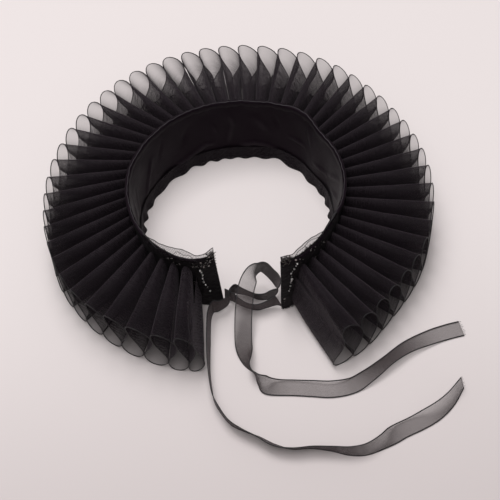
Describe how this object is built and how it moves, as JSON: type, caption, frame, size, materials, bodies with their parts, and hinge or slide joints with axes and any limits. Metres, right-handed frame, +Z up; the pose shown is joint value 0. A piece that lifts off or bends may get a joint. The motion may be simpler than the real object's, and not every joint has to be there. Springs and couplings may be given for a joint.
{
  "type": "ruff collar",
  "caption": "Open-fronted costume ruff: a sheer organza strip set in upright figure-of-eight flutes round a satin neckband, with beaded lace ends and ribbon ties.",
  "frame": {"origin": "middle of the collar on the surface that it stands on", "axes": "+Z up out of the neck opening, front opening towards -Y, +X to the right as seen from the front"},
  "size_m": [0.232, 0.274, 0.051],
  "materials": {
    "black_satin": "black satin, soft low sheen",
    "black_organza": "sheer black organza, crisp, with a fine dark selvedge",
    "black_lace": "black net lace with small black sequins and beads",
    "organza_ribbon": "sheer charcoal organza ribbon with woven edges"
  },
  "bodies": {
    "root": {"neckband": "black_satin", "band_frill": "black_organza", "ruffle": "black_organza", "lace_left": "black_lace", "lace_right": "black_lace", "tie_left": "organza_ribbon", "tie_right": "organza_ribbon"}
  },
  "joints": []
}
